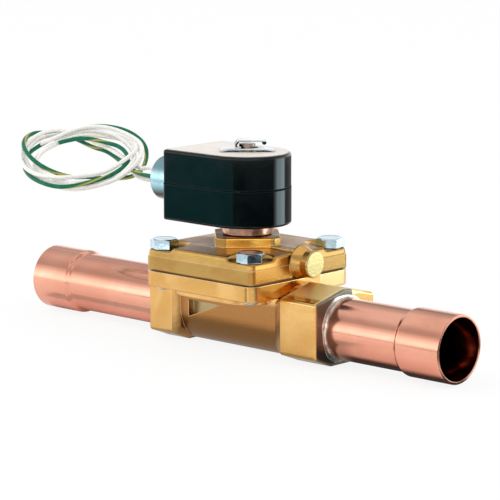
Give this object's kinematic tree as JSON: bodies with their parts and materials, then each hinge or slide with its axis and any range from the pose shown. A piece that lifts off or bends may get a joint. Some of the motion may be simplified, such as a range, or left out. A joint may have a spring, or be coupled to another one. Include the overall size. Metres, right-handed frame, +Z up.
{
  "type": "coolant valve",
  "caption": "Pilot-operated brass solenoid valve for refrigerant lines, with copper socket tubes, a moulded black coil, a conduit hub and a loop of wire leads.",
  "frame": {"origin": "centre of the flat land under the forged body, below the stem axis", "axes": "+X along the flow towards the outlet tube, +Y to the rear, +Z up along the stem"},
  "size_m": [0.3181, 0.0894, 0.1199],
  "materials": {
    "forged_brass": "polished forging",
    "machined_brass": "turned",
    "copper_tube": "polished copper",
    "braze_alloy": "silver brazing alloy",
    "zinc_steel": "zinc plated",
    "stainless": "drawn",
    "core_steel": "turned",
    "spring_steel": "bright",
    "gasket_fibre": "compressed fibre",
    "seat_plastic": "white seat plastic",
    "coil_moulding": "glossy black moulding",
    "bobbin_plastic": "moulded",
    "winding_copper": "enamelled wire",
    "label": "bare cream label",
    "zinc_casting": "blue grey passivated zinc",
    "bush_rubber": "moulded rubber",
    "green_insulation": "smooth wire insulation",
    "white_insulation": "smooth wire insulation"
  },
  "bodies": {
    "valve": {"valve_body": "forged_brass", "bonnet": "forged_brass", "bonnet_gasket": "gasket_fibre", "bonnet_bolts": "zinc_steel", "inlet_tube": "copper_tube", "outlet_tube": "copper_tube", "inlet_braze_ring": "braze_alloy", "outlet_braze_ring": "braze_alloy", "main_spring": "spring_steel", "pilot_seat": "machined_brass", "stem_collar": "machined_brass", "collar_seal": "seat_plastic", "stem_tube": "stainless", "fixed_core": "core_steel", "shading_ring": "winding_copper", "core_spring": "spring_steel"},
    "piston": {"main_piston": "machined_brass", "piston_ring": "seat_plastic", "seat_disc": "seat_plastic", "seat_disc_retainer": "machined_brass"},
    "plunger": {"plunger": "core_steel", "plunger_seal": "seat_plastic"},
    "coil": {"coil_housing": "coil_moulding", "coil_bobbin": "bobbin_plastic", "coil_winding": "winding_copper", "coil_yoke": "core_steel", "label_plate": "label", "conduit_hub": "zinc_casting", "lead_grommet": "bush_rubber", "green_lead": "green_insulation", "white_lead_a": "white_insulation", "white_lead_b": "white_insulation", "lead_loop": "white_insulation", "retaining_clip": "spring_steel"}
  },
  "joints": [
    {"name": "piston_lift", "type": "slide", "parent": "valve", "child": "piston", "axis": [0, 0, 1], "range_m": [0, 0.004], "stiffness_N_per_m": 1200, "springref_m": -0.004, "deforming": ["main_spring"]},
    {"name": "plunger_lift", "type": "slide", "parent": "valve", "child": "plunger", "axis": [0, 0, 1], "range_m": [0, 0.0018], "stiffness_N_per_m": 300, "springref_m": -0.004, "deforming": ["core_spring"]},
    {"name": "coil_swivel", "type": "hinge", "parent": "valve", "child": "coil", "pos_m": [0, 0, 0.0915], "axis": [0, 0, 1], "continuous": true}
  ]
}
